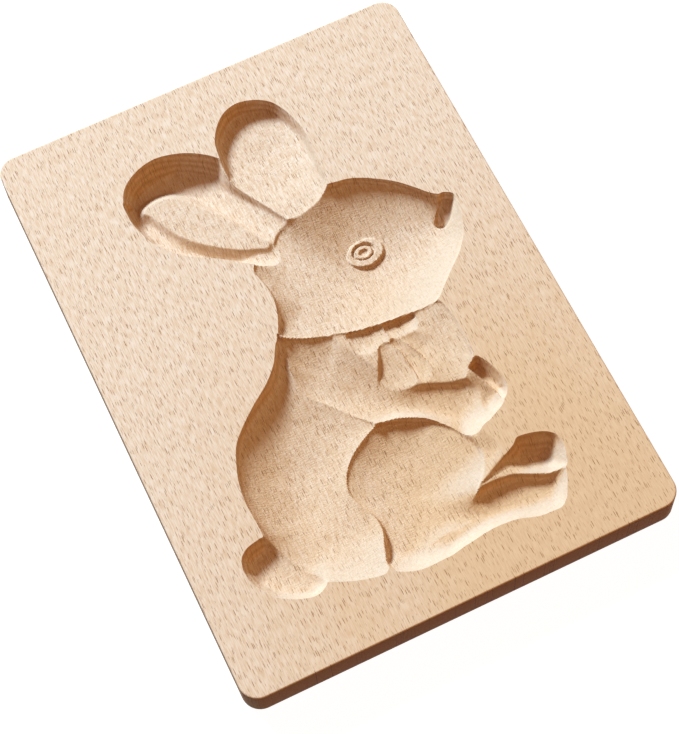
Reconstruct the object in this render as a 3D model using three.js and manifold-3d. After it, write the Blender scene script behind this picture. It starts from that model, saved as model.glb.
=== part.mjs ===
import * as THREE from 'three';
import { mergeVertices } from 'three/addons/utils/BufferGeometryUtils.js';
import Module from 'manifold-3d';

// A carved wooden biscuit mould. One flat board lies on its back, and a sitting rabbit with a bow
// is cut into its top face as a hollow, so that dough pressed in comes out as a raised rabbit.
// Millimetres, +Z up. The origin is the middle of the underside, and +Y runs from feet to ears.

// Driving dimensions: the board
const board_width = 115;
const board_length = 160;
const board_thickness = 10;
const corner_radius = 4.8;
const edge_round = 1.2;

// Driving dimensions: the carving. The outlines below are drawn for a figure of drawn_height.
const drawn_height = 137.5;
const figure_height = 137.5;
const figure_across = 0;
const figure_along = 0;

// Deepest cut of each part of the figure, under the top face
const near_ear_depth = 6.6;
const far_ear_depth = 5.2;
const ear_leaf_depth = 4.3;
const ear_leaf_spread = 7;
const head_depth = 6.6;
const body_depth = 6;
const chest_depth = 3.7;
const arm_depth = 5.2;
const paw_depth = 4.8;
const thigh_depth = 6.9;
const near_foot_depth = 5.4;
const far_foot_depth = 5;
const tail_depth = 5;
const belly_depth = 3.4;
const bow_depth = 5.2;
const nose_depth = 5;
const eye_rise = 1.1;
const pupil_rise = 0.6;

// Fineness of the cut faces, and how the cutters run past the surfaces that they cut
const rim_step = 2.6;
const fewest_rim_points = 10;
const wall_rings = 2;
const floor_rings = 3;
const keel_reach = 0.93;
const steep_share = 0.6;
const cutter_lift = 1;
const cutter_taper = 0.4;
const mound_foot_depth = 9;
const shortest_edge = 0.02;

const scale = figure_height / drawn_height;
const wasm = await Module();
wasm.setup();

// Solids in and out of the cutting library

function solidOf(geometry) {
  const bare = geometry.index ? geometry : geometry.clone();
  bare.deleteAttribute('normal');
  bare.deleteAttribute('uv');
  const merged = mergeVertices(bare, 1e-5);
  return new wasm.Manifold(new wasm.Mesh({
    numProp: 3,
    vertProperties: new Float32Array(merged.attributes.position.array),
    triVerts: new Uint32Array(merged.index.array),
    tolerance: shortest_edge,
  }));
}

function geometryOf(solid) {
  const mesh = solid.getMesh();
  const geometry = new THREE.BufferGeometry();
  geometry.setAttribute('position', new THREE.BufferAttribute(mesh.vertProperties, 3));
  geometry.setIndex(new THREE.BufferAttribute(mesh.triVerts, 1));
  const flat = geometry.toNonIndexed();
  flat.computeVertexNormals();
  return flat;
}

// The blank: a flat board with round corners and softened edges

function boardBlank() {
  const x = board_width / 2 - edge_round;
  const y = board_length / 2 - edge_round;
  const r = corner_radius - edge_round;
  const plan = new THREE.Shape();
  plan.absarc(x - r, y - r, r, 0, Math.PI / 2);
  plan.absarc(r - x, y - r, r, Math.PI / 2, Math.PI);
  plan.absarc(r - x, r - y, r, Math.PI, Math.PI * 1.5);
  plan.absarc(x - r, r - y, r, Math.PI * 1.5, Math.PI * 2);
  const blank = new THREE.ExtrudeGeometry(plan, {
    depth: board_thickness - 2 * edge_round,
    bevelEnabled: true,
    bevelThickness: edge_round,
    bevelSize: edge_round,
    bevelSegments: 3,
    curveSegments: 7,
  });
  blank.translate(0, 0, edge_round);
  return solidOf(blank);
}

// Outlines: [x, y] or [x, y, depth] points, joined by one smooth closed curve

function smoothRing(points, step) {
  const drawn = points.map(([x, y, depth = 0]) => new THREE.Vector3(
    x * scale + figure_across, y * scale + figure_along, -depth));
  const curve = new THREE.CatmullRomCurve3(drawn, true, 'centripetal');
  const count = Math.max(fewest_rim_points, Math.round(curve.getLength() / step));
  const ring = curve.getSpacedPoints(count).slice(0, count);
  ring.forEach((p) => { p.z = Math.min(p.z, 0); });
  const plan = ring.map((p) => new THREE.Vector2(p.x, p.y));
  return THREE.ShapeUtils.isClockWise(plan) ? ring.reverse() : ring;
}

// The keel of a hollow is its deepest line. Each rim point sinks towards the nearest keel point.
function nearestOnKeel(p, keel) {
  let best = null;
  for (let i = 0; i < keel.length; i += 1) {
    const a = keel[i];
    const b = keel[Math.min(i + 1, keel.length - 1)];
    const along = new THREE.Vector2(b.x - a.x, b.y - a.y);
    const span = along.lengthSq();
    const reach = span > 0 ? ((p.x - a.x) * along.x + (p.y - a.y) * along.y) / span : 0;
    const q = a.clone().lerp(b, Math.min(1, Math.max(0, reach)));
    const gap = Math.hypot(q.x - p.x, q.y - p.y);
    if (!best || gap < best.gap) {
      best = { q, gap };
    }
  }
  return best;
}

// A long narrow face, closed by the shortest rungs between its two sides
function rungFace(ring) {
  const count = ring.length;
  let ends = [0, 1];
  ring.forEach((p, i) => ring.forEach((q, j) => {
    if (p.distanceTo(q) > ring[ends[0]].distanceTo(ring[ends[1]])) {
      ends = [i, j];
    }
  }));
  const [from, to] = ends;
  const left = (to - from + count) % count;
  const right = count - left;
  const onLeft = (i) => (from + i) % count;
  const onRight = (j) => (from - j + count) % count;
  const triangles = [];
  let i = 0;
  let j = 0;
  while (i < left || j < right) {
    const a = onLeft(i);
    const b = onRight(j);
    const leftStep = i < left ? ring[onLeft(i + 1)].distanceTo(ring[b]) : Infinity;
    const rightStep = j < right ? ring[a].distanceTo(ring[onRight(j + 1)]) : Infinity;
    if (leftStep < rightStep) {
      i += 1;
      triangles.push([a, onLeft(i), b]);
    } else {
      j += 1;
      triangles.push([a, onRight(j), b]);
    }
  }
  return triangles.filter(([a, b, c]) => a !== b && b !== c && a !== c);
}

// Closed rings joined from the top one to the bottom one, with both ends closed by a face
function ringSolid(rings) {
  const count = rings[0].length;
  const positions = rings.flat().flatMap((p) => [p.x, p.y, p.z]);
  const index = [];
  for (let j = 0; j + 1 < rings.length; j += 1) {
    for (let k = 0; k < count; k += 1) {
      const next = (k + 1) % count;
      const up = j * count;
      const down = up + count;
      index.push(up + k, down + k, down + next, up + k, down + next, up + next);
    }
  }
  const plan = rings[0].map((p) => new THREE.Vector2(p.x, p.y));
  const last = (rings.length - 1) * count;
  THREE.ShapeUtils.triangulateShape(plan, []).forEach(([a, b, c]) => index.push(a, b, c));
  rungFace(rings[rings.length - 1]).forEach(([a, b, c]) => {
    index.push(last + a, last + c, last + b);
  });
  const geometry = new THREE.BufferGeometry();
  geometry.setAttribute('position', new THREE.Float32BufferAttribute(positions, 3));
  geometry.setIndex(index);
  geometry.translate(0, 0, board_thickness);
  return solidOf(geometry);
}

// A hollow: a steep wall down to the wall depth, and then a dished floor down to the keel
function hollow({ rim, keel, wall, run, swell = 2, step = rim_step }) {
  const edge = smoothRing(rim, step);
  const line = keel.map(([x, y, depth]) => new THREE.Vector3(
    x * scale + figure_across, y * scale + figure_along, -depth));
  const aims = edge.map((p) => {
    const aim = nearestOnKeel(p, line);
    return { ...aim, steepEnd: Math.min(run, aim.gap * steep_share) };
  });
  const at = (p, { q, gap, steepEnd }, distance) => {
    const steep = Math.min(1, distance / steepEnd);
    const foot = Math.min(p.z, Math.max(-wall, q.z));
    const dish = 1 - (1 - distance / gap) ** swell;
    return new THREE.Vector3(
      p.x + ((q.x - p.x) * distance) / gap,
      p.y + ((q.y - p.y) * distance) / gap,
      p.z + (foot - p.z) * steep + (q.z - foot) * dish,
    );
  };
  // Above its drawn edge the cut opens out at the cutter's taper, so that neighbours overlap
  const mouth = edge.map((p, k) => {
    const { q, gap } = aims[k];
    const out = ((cutter_lift - p.z) * cutter_taper) / gap;
    return new THREE.Vector3(p.x + (p.x - q.x) * out, p.y + (p.y - q.y) * out, cutter_lift);
  });
  const rings = [mouth, edge];
  for (let j = 1; j <= wall_rings; j += 1) {
    rings.push(edge.map((p, k) => at(p, aims[k], (aims[k].steepEnd * j) / wall_rings)));
  }
  for (let j = 1; j <= floor_rings; j += 1) {
    rings.push(edge.map((p, k) => {
      const { gap, steepEnd } = aims[k];
      return at(p, aims[k], steepEnd + ((gap * keel_reach - steepEnd) * j) / floor_rings);
    }));
  }
  return ringSolid(rings);
}

// A mound that a hollow leaves standing: its outline at the top, and sides that spread downwards
function mound({ rim, top, spread, step = rim_step }) {
  const edge = smoothRing(rim, step);
  const middle = edge.reduce((sum, p) => sum.add(p), new THREE.Vector3())
    .divideScalar(edge.length);
  const crown = edge.map((p) => new THREE.Vector3(p.x, p.y, -top));
  const foot = edge.map((p) => {
    const away = Math.hypot(p.x - middle.x, p.y - middle.y);
    const grow = 1 + spread / away;
    return new THREE.Vector3(
      middle.x + (p.x - middle.x) * grow, middle.y + (p.y - middle.y) * grow,
      -mound_foot_depth);
  });
  return ringSolid([crown, foot]);
}

// The far ear, behind the near one: a plain leaf whose floor rises towards the head
const far_ear = hollow({
  rim: [
    [-4.1, 55], [-3.8, 57.5], [-3.3, 60], [-1.8, 63], [0.5, 65.8], [3, 67.6], [6.5, 68.5],
    [10, 67.9], [13, 66.5], [15.5, 64.3], [17.5, 60.5], [18.6, 57], [19.3, 52.5],
    [19.1, 47.5], [18.5, 42.5], [18, 36], [15, 32.7, 0.8], [11, 31.5, 1.2], [6, 30.6, 1.2],
    [3, 32.5, 1], [0, 37.5, 1], [-3.3, 43.5, 1], [-5, 49, 0.6],
  ],
  keel: [
    [6.5, 60, far_ear_depth], [8, 53, far_ear_depth - 0.6], [9.5, 44, far_ear_depth - 1.9],
    [11, 37, far_ear_depth - 3],
  ],
  wall: 3.9,
  run: 1.9,
});

// The near ear: a deep groove all round its raised inner leaf, open to the head at its root
const near_ear_groove = hollow({
  rim: [
    [-4.1, 55], [-5.5, 56.8], [-8, 58.8], [-11, 60.6], [-15, 62.1], [-19.5, 62.8], [-24, 61.9],
    [-27.5, 60.1], [-30, 57.8], [-31.6, 54.5], [-32, 51], [-31.8, 47.5], [-30.8, 44],
    [-29.5, 40.5], [-27.5, 37.5], [-25, 34.8], [-22, 32.3], [-18.5, 30.3], [-15, 28],
    [-10.6, 24.6], [-7.4, 23, 1.4], [-4.4, 22.3, 2.4], [-1.8, 22.5, 3.1], [-0.3, 24.3, 3.6],
    [0.4, 27, 4], [1.8, 29.6, 4], [3.6, 31.2, 3], [5.6, 32.2, 1.8], [4.3, 34.5, 2],
    [2.4, 38.3, 2.4], [0.4, 42, 2.8], [-1.5, 45.5, 3], [-2.8, 48.4, 3], [-3.6, 51.5, 2],
  ],
  keel: [
    [-20, 55, near_ear_depth], [-13.5, 47.5, near_ear_depth - 0.2],
    [-6, 36, near_ear_depth - 0.5], [-2.4, 28.5, near_ear_depth - 0.8],
  ],
  wall: 5.2,
  run: 1.7,
});
const near_ear_leaf = mound({
  rim: [
    [-28.1, 52], [-25.6, 53.4], [-22.5, 53.6], [-19.5, 52.8], [-16.5, 51], [-13.3, 47.6],
    [-9.4, 42.8], [-5.4, 37.6], [-2.8, 33.2], [-1.6, 29.6], [-2.6, 28.1], [-4.8, 28],
    [-7.2, 28.7], [-10.9, 30.6], [-14.5, 32.8], [-17.5, 35.8], [-21, 38.8], [-24.5, 42.9],
    [-27.1, 47.3],
  ],
  top: ear_leaf_depth,
  spread: ear_leaf_spread,
});
const near_ear = near_ear_groove.subtract(near_ear_leaf);

// The head in profile: a short steep edge and then one broad dish, with the cheek deepest
const head = hollow({
  rim: [
    [18, 35.7], [20, 35.4], [23, 34.9], [26.5, 33.5], [30, 31.4], [33, 29.3], [35.5, 27],
    [38, 24.3], [40, 22], [42, 20.4], [44, 19.8], [45.3, 19], [45.8, 17.5], [45.3, 16],
    [45, 14.5], [44.5, 12], [43.5, 9], [42.5, 7], [41, 5], [39.3, 3], [37, 1], [35, -0.7],
    [33, -2.5], [31.3, -4], [29.6, -5.6], [27.6, -6.4, 0.6], [23.4, -6, 1.7],
    [20.4, -5.6, 2], [15.4, -5.3, 2], [10.4, -4.7, 2], [5.3, -3.7, 2], [0.3, -2.5, 2],
    [-4.7, -0.7, 2], [-7.2, 0.2, 1.8], [-9.7, 1.4, 1.2], [-11.2, 2.8, 0.2], [-10.4, 4.9],
    [-9.2, 8], [-8.4, 12], [-8.5, 15.5], [-9.3, 18.5], [-10.4, 21.3], [-10.9, 23.2],
    [-9.4, 25.4, 0.4], [-6.4, 28.4, 0.6], [-3, 31.6, 0.8], [0.6, 34, 0.9], [3.4, 34.2, 0.8],
    [5.8, 33.4, 0.7], [8, 33.1, 0.8], [11, 33.6, 0.8], [14.5, 34.8, 0.4],
  ],
  keel: [
    [-2.5, 15.5, head_depth - 3.1], [4, 14.4, head_depth - 1.5], [11, 13.4, head_depth - 0.4],
    [18, 13, head_depth], [28, 14, head_depth - 1], [38.5, 15, head_depth - 2.6],
  ],
  wall: 1.4,
  run: 0.6,
});

// The nose: a small deep pit that hooks inwards from the tip of the muzzle
const nose = hollow({
  rim: [
    [45.6, 18.4], [45.4, 16.6, 1.5], [43.6, 14.6, 2.6], [41.2, 13, 3], [39.4, 13, 3],
    [39, 14.4, 3], [40.6, 16, 2.8], [42.2, 18, 2], [43.6, 20],
  ],
  keel: [[43.6, 18, nose_depth - 0.4], [42.8, 16.4, nose_depth], [40.6, 14.6, nose_depth]],
  wall: 4.4,
  run: 0.7,
  step: 1.4,
});

// The eye: a raised ring left on the cheek, with a pit in it and a small disc in the pit
function ellipse(x, y, rx, ry, turn, count) {
  return Array.from({ length: count }, (_, k) => {
    const angle = (k / count) * Math.PI * 2;
    const along = rx * Math.cos(angle);
    const across = ry * Math.sin(angle);
    return [
      x + along * Math.cos(turn) - across * Math.sin(turn),
      y + along * Math.sin(turn) + across * Math.cos(turn),
    ];
  });
}
const eye_floor = head_depth - 0.3;
const eye_ring = mound({
  rim: ellipse(18, 16.2, 4.9, 3.6, 0.12, 16),
  top: eye_floor - eye_rise,
  spread: 1.5,
  step: 1.6,
});
const eye_pit = hollow({
  rim: ellipse(18.3, 16.5, 3.2, 2.8, 0, 12),
  keel: [[18.3, 16.5, eye_floor + 0.2]],
  wall: eye_floor,
  run: 0.8,
  step: 1.6,
});
const pupil = mound({
  rim: ellipse(17.9, 16.8, 1.4, 1.4, 0, 10),
  top: eye_floor - pupil_rise,
  spread: 0.5,
  step: 1,
});

// The back and belly: one long dish from the nape to the heel
const body = hollow({
  rim: [
    [-11.6, 3.2], [-12.6, 0.8], [-14, -1.4], [-16.4, -4.7], [-20.1, -8.4], [-25, -12],
    [-30, -16.3], [-33.2, -19.8], [-35.5, -25], [-36.9, -30], [-37.4, -34.5], [-37.2, -39], [-36.8, -43.8],
    [-36.2, -47], [-35.1, -50], [-33.9, -53.2], [-32, -56.6], [-29.8, -59.4], [-27.2, -61.5],
    [-22.5, -63.7], [-18.5, -64.9], [-14.5, -65.4], [-10, -63, 1.5], [-4, -56, 3],
    [2, -44, 3.5], [6, -30, 3], [8, -18, 2.5], [4, -8, 2], [-2, -2, 1.6], [-8, 1.6, 1],
  ],
  keel: [
    [-4, -11, body_depth - 2], [-15, -26, body_depth - 0.4], [-19.5, -40, body_depth],
    [-17, -52, body_depth - 0.5],
  ],
  wall: 0.9,
  run: 0.5,
  swell: 2.5,
});

// The tail: a round scoop behind the body, steepest at its upper left
const tail = hollow({
  rim: [
    [-36.6, -44.3], [-40, -44.5], [-42, -45.1], [-44, -46.8], [-44.9, -49.8], [-44.7, -52],
    [-44, -54.5], [-42.5, -57], [-40.3, -59.6], [-36.4, -61.9], [-32.6, -63.1],
    [-30.1, -62.8], [-28, -60.9], [-28.4, -58.6, 1.4], [-31.2, -55.6, 2],
    [-33.1, -52.4, 2.2], [-34.3, -49.3, 2.2], [-35.4, -46.8, 1.8],
  ],
  keel: [[-39, -50.5, tail_depth], [-34.5, -56.5, tail_depth - 0.8]],
  wall: 3,
  run: 1.4,
});

// The chest: a shallow dish below the jaw and in front of the arm
const chest = hollow({
  rim: [
    [0.3, -2.4, 2], [5.3, -3.6, 2], [10.4, -4.6, 2], [15.4, -5.2, 2], [20.4, -5.5, 2],
    [23.4, -5.9, 1.7], [27.6, -6.3, 0.6], [28.9, -7], [29.8, -10], [30.2, -14], [30.2, -20],
    [30, -25], [27, -29.5, 1.5], [20, -30, 3], [10, -27, 3], [2, -20, 3], [-1, -10, 3],
  ],
  keel: [[8, -12, chest_depth], [12, -20, chest_depth], [22, -17, chest_depth - 0.4]],
  wall: 2.9,
  run: 0.8,
});

// The bow under the chin: two loops, a knot and two hanging tails, each a small facet
const bow_left = hollow({
  rim: [
    [3.9, -3.6, 2], [8.5, -4.4, 2], [12.8, -5, 2], [13, -8, 3.6], [12.6, -11.2, 3.8],
    [9.5, -11.2, 3.9], [6, -11.6, 3.9], [4.5, -9.4, 3.5], [3.9, -6.4, 2.8],
  ],
  keel: [[6, -7, bow_depth], [11.2, -7.6, bow_depth - 0.1]],
  wall: 4.3,
  run: 0.8,
  step: 2,
});
const bow_right = hollow({
  rim: [
    [14.6, -5.2, 2], [18.5, -5.5, 2], [21.6, -5.7, 2], [22.4, -8, 3], [20.8, -11, 3.4],
    [18, -11.2, 3.6], [15.4, -11.2, 3.8], [15, -8, 3.6],
  ],
  keel: [[16.8, -7.4, bow_depth - 0.2], [19, -7.6, bow_depth - 0.4]],
  wall: 4.2,
  run: 0.8,
  step: 2,
});
const bow_knot = hollow({
  rim: [
    [12.5, -6.4, 3], [15.4, -6.4, 3], [15.6, -9, 3.8], [15, -11.8, 4], [13, -11.8, 4],
    [12.4, -9, 3.8],
  ],
  keel: [[13.9, -8.6, bow_depth + 0.3]],
  wall: 4.4,
  run: 0.8,
  step: 1.6,
});
const bow_tail_left = hollow({
  rim: [
    [9.4, -11.6, 3.8], [13, -11.6, 3.8], [13.9, -15, 4], [14.5, -18.6, 4.2], [14.6, -22, 4.4],
    [10, -22.6, 4.5], [4.8, -21.6, 4.2], [6.4, -18, 4], [8, -14.8, 3.9],
  ],
  keel: [[10.2, -13.2, bow_depth - 0.3], [9, -16.6, bow_depth], [7.6, -19.6, bow_depth]],
  wall: 4.7,
  run: 0.7,
  step: 2,
});
const bow_tail_middle = hollow({
  rim: [
    [13.3, -11.6, 3.8], [15.7, -11.6, 3.8], [17.2, -14.8, 3.8], [18.4, -18, 3.8],
    [19, -20.6, 3.9], [15, -22, 4.3], [14.6, -18.4, 4.1], [14.2, -14.8, 4],
  ],
  keel: [[14.6, -13.6, bow_depth - 0.4], [15.6, -18.4, bow_depth - 0.1]],
  wall: 4.6,
  run: 0.7,
  step: 2,
});
const bow_tail_right = hollow({
  rim: [
    [16, -11.6, 3.6], [18.6, -12, 3.4], [21, -14.6, 3.4], [21.6, -18.4, 3.4],
    [19.4, -20.4, 3.7], [18.6, -17.6, 3.7], [17.4, -14.6, 3.7],
  ],
  keel: [[17.2, -12.8, bow_depth - 1], [19.2, -17, bow_depth - 0.9]],
  wall: 4,
  run: 0.7,
  step: 2,
});

// The shoulder and arm: one long dish from the nape to the wrist, deeper than the chest
const arm = hollow({
  rim: [
    [-12.4, 1.2], [-9.7, 1.4, 1.2], [-4.7, -0.6, 2], [0.3, -2.4, 2], [4, -6, 3.1],
    [7, -12, 3.6], [9.5, -18, 3.6], [10.6, -22, 3.3], [12.8, -23.2, 3], [15.6, -23.9, 3],
    [18.6, -25.3, 3], [21.6, -26.9, 2.8], [25.4, -28.4, 2.2], [28, -32, 2.4], [28, -37, 1.6],
    [26.5, -40.6], [23.5, -41.7], [21, -42.6, 0.6], [18.6, -41.6, 1.8], [16.6, -38, 2.6],
    [15, -36, 2.7], [13, -33.7, 2.8], [11, -32.2, 2.8], [8.5, -30.9, 2.8], [5.5, -29.9, 2.9],
    [0.6, -28.6, 3.3], [-3.4, -24, 3.8], [-5.9, -20.9, 4], [-8.4, -17.9, 4],
    [-10.8, -15.2, 3.8], [-13, -12, 3.3], [-14.6, -6, 1.4],
  ],
  keel: [
    [-6, -7.5, arm_depth - 1.8], [-1.5, -16.5, arm_depth - 0.6], [7, -26, arm_depth],
    [20, -34.4, arm_depth - 0.1],
  ],
  wall: 2.9,
  run: 1,
});

// The paw: a short deep hollow with a steep upper edge
const paw = hollow({
  rim: [
    [25.6, -28.2, 1.6], [26.9, -25.3], [30, -24.5], [31.6, -26.6], [32.8, -29.6],
    [33.5, -33.4], [32.8, -36], [31.6, -37.6], [30, -39], [28, -40], [26.2, -40.6],
    [25, -38, 2], [25, -34, 3], [25, -31, 2.6],
  ],
  keel: [[29.3, -30, paw_depth], [29, -35, paw_depth - 0.4]],
  wall: 3.6,
  run: 1.3,
  step: 2,
});

// The thigh and heel: the deepest dish of the figure
const thigh = hollow({
  rim: [
    [0.5, -29.3, 3], [3, -29.4, 3], [5.5, -29.9, 3], [8.5, -30.9, 3], [11, -32.2, 2.9],
    [13, -33.7, 2.9], [15, -36, 2.8], [16.5, -38, 2.7], [17.8, -40.6, 2.6],
    [19, -43.6, 2.7], [19.8, -47, 2.5], [18.8, -50.6, 2.2], [16.8, -53.4, 1.9],
    [14.6, -55.6, 2.2], [12.5, -56.8, 2.6], [10.5, -58.1, 2.9], [7.6, -59.4, 3.2],
    [5.4, -62, 2.8], [4, -66, 1], [1.5, -68], [-3.5, -68.4], [-7.5, -68.1], [-10.5, -67],
    [-12.6, -65.6], [-12.9, -63.2, 1], [-12.4, -60.8, 2], [-10.8, -58.4, 2.8],
    [-9.9, -56, 3.3], [-9.8, -53.4, 3.6], [-10.8, -49.8, 4], [-11.8, -47.7, 4.2],
    [-12.6, -45.6, 4.3], [-13.1, -42.5, 4.4], [-12.5, -39.2, 4.4], [-11.3, -37.4, 4.4],
    [-9.4, -35.4, 4.3], [-7.4, -33.4, 4.2], [-4.9, -32, 4], [-2, -30.7, 3.6],
  ],
  keel: [
    [1.5, -40, thigh_depth - 0.1], [2.5, -48, thigh_depth], [-2, -59, thigh_depth - 1.6],
  ],
  wall: 5,
  run: 1.3,
});

// The belly between the thigh and the feet: a thin wedge that runs out to the right
const belly = hollow({
  rim: [
    [17.6, -40.4, 1.8], [21.4, -42.4, 0.9], [26, -40.6, 0.6], [30, -38.8], [30.6, -41.5],
    [31, -44], [30.3, -46.6], [29, -48.4], [25, -50.9], [19.5, -53.2, 0.4], [15, -54.6, 1],
    [13, -50, 2], [14, -44, 2],
  ],
  keel: [[16.5, -46.5, belly_depth], [22, -45.6, belly_depth - 1]],
  wall: 0.6,
  run: 0.5,
});

// The far foot: a pocket whose upper wall is the longest on the feet
const far_foot = hollow({
  rim: [
    [14.6, -55.4, 0.8], [17, -54.2], [19.5, -53], [22.5, -51.8], [25, -50.8],
    [27.5, -49.5], [29, -48.3], [32, -48.6], [34.5, -49.3], [36.5, -50.3], [38, -51.8],
    [38.5, -53.4], [38.3, -55.6], [37.6, -57.8], [36.6, -59.8, 0.6], [33, -60.8, 1.8],
    [29.5, -58.8, 2], [25, -57, 1.9], [19, -56.2, 1.7],
  ],
  keel: [
    [20.5, -54.4, far_foot_depth - 2.8], [28.5, -53.9, far_foot_depth - 0.6],
    [34.4, -53.9, far_foot_depth],
  ],
  wall: 2.4,
  run: 2,
  step: 2.2,
});

// The near foot: a long dish from the heel to the toes, dark and steep along its upper edge
const near_foot = hollow({
  rim: [
    [0, -63, 3.4], [4.5, -60.5, 3.3], [7.6, -59.3, 3], [10.5, -58, 2.6], [12.6, -56.6, 2.3],
    [14.8, -55.6, 2], [17.6, -55.1, 1.9], [20.6, -55.1, 1.9], [24, -55.5, 1.9],
    [27, -56.4, 1.9], [29.5, -57.4, 1.9], [32.6, -59, 1.8], [36.4, -59.8], [35.6, -62.4],
    [34.2, -64.8], [32.6, -67.4], [30.5, -69], [28, -69], [25, -68.8], [22.5, -68.1],
    [20, -67.2], [15, -66.6], [10, -66.8], [5, -67.5], [0, -68.3], [-3, -67, 2],
  ],
  keel: [
    [3, -63.6, near_foot_depth - 0.6], [14, -60.6, near_foot_depth],
    [26, -61.6, near_foot_depth - 0.1], [31, -63.4, near_foot_depth - 0.6],
  ],
  wall: 3.6,
  run: 1.5,
});

// The board with every hollow cut out of it, and the mounds of the eye left standing in the head
const head_with_eye = head.subtract(eye_ring.subtract(eye_pit)).subtract(pupil);
const hollows = [
  far_ear, near_ear, head_with_eye, nose, body, tail, chest, bow_left, bow_right, bow_knot,
  bow_tail_left, bow_tail_middle, bow_tail_right, arm, paw, thigh, belly, far_foot, near_foot,
];
const carved = hollows.reduce((board, cut) => board.subtract(cut), boardBlank());

const beech = new THREE.MeshStandardMaterial({
  name: 'beech',
  color: 0xe6cba6,
  roughness: 0.62,
  metalness: 0,
});
const mould_board = new THREE.Mesh(geometryOf(carved), beech);
mould_board.name = 'mould_board';

const group = new THREE.Group();
group.name = 'cookie_mould';
group.add(mould_board);

export default group;
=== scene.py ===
import math

import bpy
import numpy as np
from mathutils import Matrix, Vector
from mathutils.geometry import delaunay_2d_cdt


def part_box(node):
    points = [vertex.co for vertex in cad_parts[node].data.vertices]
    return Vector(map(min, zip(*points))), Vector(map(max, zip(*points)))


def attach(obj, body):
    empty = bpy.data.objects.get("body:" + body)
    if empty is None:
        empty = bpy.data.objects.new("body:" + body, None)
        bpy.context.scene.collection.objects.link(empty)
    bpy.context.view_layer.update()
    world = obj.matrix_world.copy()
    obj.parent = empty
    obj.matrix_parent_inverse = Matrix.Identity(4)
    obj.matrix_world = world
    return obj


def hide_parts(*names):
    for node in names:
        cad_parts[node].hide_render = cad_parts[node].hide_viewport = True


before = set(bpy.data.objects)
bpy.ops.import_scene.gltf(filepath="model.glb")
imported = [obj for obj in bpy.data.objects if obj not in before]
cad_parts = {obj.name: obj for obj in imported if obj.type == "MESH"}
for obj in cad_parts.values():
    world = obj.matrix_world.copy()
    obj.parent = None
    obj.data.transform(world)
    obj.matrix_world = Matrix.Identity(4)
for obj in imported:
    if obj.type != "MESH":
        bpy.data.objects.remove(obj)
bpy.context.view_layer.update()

# The board: one flat plank of steamed beech, sanded on its faces, with round corners and
# lightly eased edges. A sitting rabbit with a bow is cut into its top face with a fine
# ball-nosed cutter, as a hollow that dough is pressed into.

# The carving, in millimetres from the middle of the board. Each part of the figure is a dish,
# and the dishes run into each other along sharp crests, which are the creases of the biscuit.
# A point of a rim may carry two more numbers: how deep the rim lies there, and how deep the
# foot of the steep wall below it, if it has one. The keel joins a dish's deepest places.
# wall: the depth of the wall's foot at points that don't give it
# steep: how much deeper the wall gets for each millimetre inwards
# level: how far round the keel the floor is flat
# swell: how full the floor's curve is, 1 for a straight slope
# fillet, blur: how far the wall's foot and the floor are rounded

# The ears. The near one is a groove with a deeper channel along its lower side, and a leaf
# left standing in it: flat on top, with sides that run out as far for each millimetre down
# as slope says.
far_ear = dict(
    rim=[
        (-4.1, 55, 0, 3.4), (-3.8, 57.5), (-3.3, 60), (-1.8, 63), (0.5, 65.8), (3, 67.6),
        (6.5, 68.5), (10, 67.9), (13, 66.5), (15.5, 64.3), (17.5, 60.5), (18.6, 57, 0, 3.2),
        (19.3, 52.5, 0, 2.8), (19.1, 47.5, 0, 2), (18.5, 42.5, 0, 1.4), (18, 36, 0, 0.9),
        (15, 32.7, 0.8, 1.2), (11, 31.5, 1.2, 1.5), (6, 30.6, 1.2, 1.6), (3, 32.5, 1, 1.6),
        (0, 37.5, 1.2, 1.8), (-3, 43.5, 1.6, 2.2), (-4.2, 48, 1.5, 2.6), (-4.5, 51.5, 0.8, 3),
    ],
    keel=[(6.5, 60, 4.1), (8, 53, 4.1), (9.5, 44, 3.5), (11, 37, 2.5)],
    wall=3.6, steep=2.2, level=2,
)
near_ear_groove = dict(
    rim=[
        (-4.1, 55, 0, 4.6), (-5.5, 56.8), (-8, 58.8), (-11, 60.6), (-15, 62.1), (-19.5, 62.8),
        (-24, 61.9), (-27.5, 60.1), (-30, 57.8), (-31.6, 54.5), (-32, 51, 0, 4.6),
        (-31.8, 47.5, 0, 3.6), (-30.8, 44, 0, 3), (-29.5, 40.5, 0, 2.6), (-27.5, 37.5, 0, 2.6),
        (-25, 34.8, 0, 3), (-22, 32.3, 0, 3.4), (-18.5, 30.3, 0, 3.8), (-15, 28, 0, 4),
        (-10.6, 25.4, 0, 4.2), (-7.4, 24, 0.6, 4.2), (-4.4, 23.6, 1.6, 3.6),
        (-2, 24, 2.2, 3), (0.2, 25.2, 2.6), (2, 27.2, 2.6), (3.6, 29, 2.2),
        (4.8, 30.4, 1.6, 2), (5, 31.4, 1.2, 2), (3.6, 34.5, 1.2, 2.8),
        (1.8, 38.3, 1.3, 3.2), (-0.2, 42, 1.5, 3.8), (-2, 45.5, 1.4, 4.4),
        (-3.2, 48.4, 1, 4.8), (-3.9, 51.5, 0.5, 4.8),
    ],
    keel=[(-20, 55.5, 6.7), (-13, 48, 6.3), (-5.5, 37, 4.8), (-0.4, 29, 3.6)],
    wall=5.2, steep=2, level=1,
)
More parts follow.
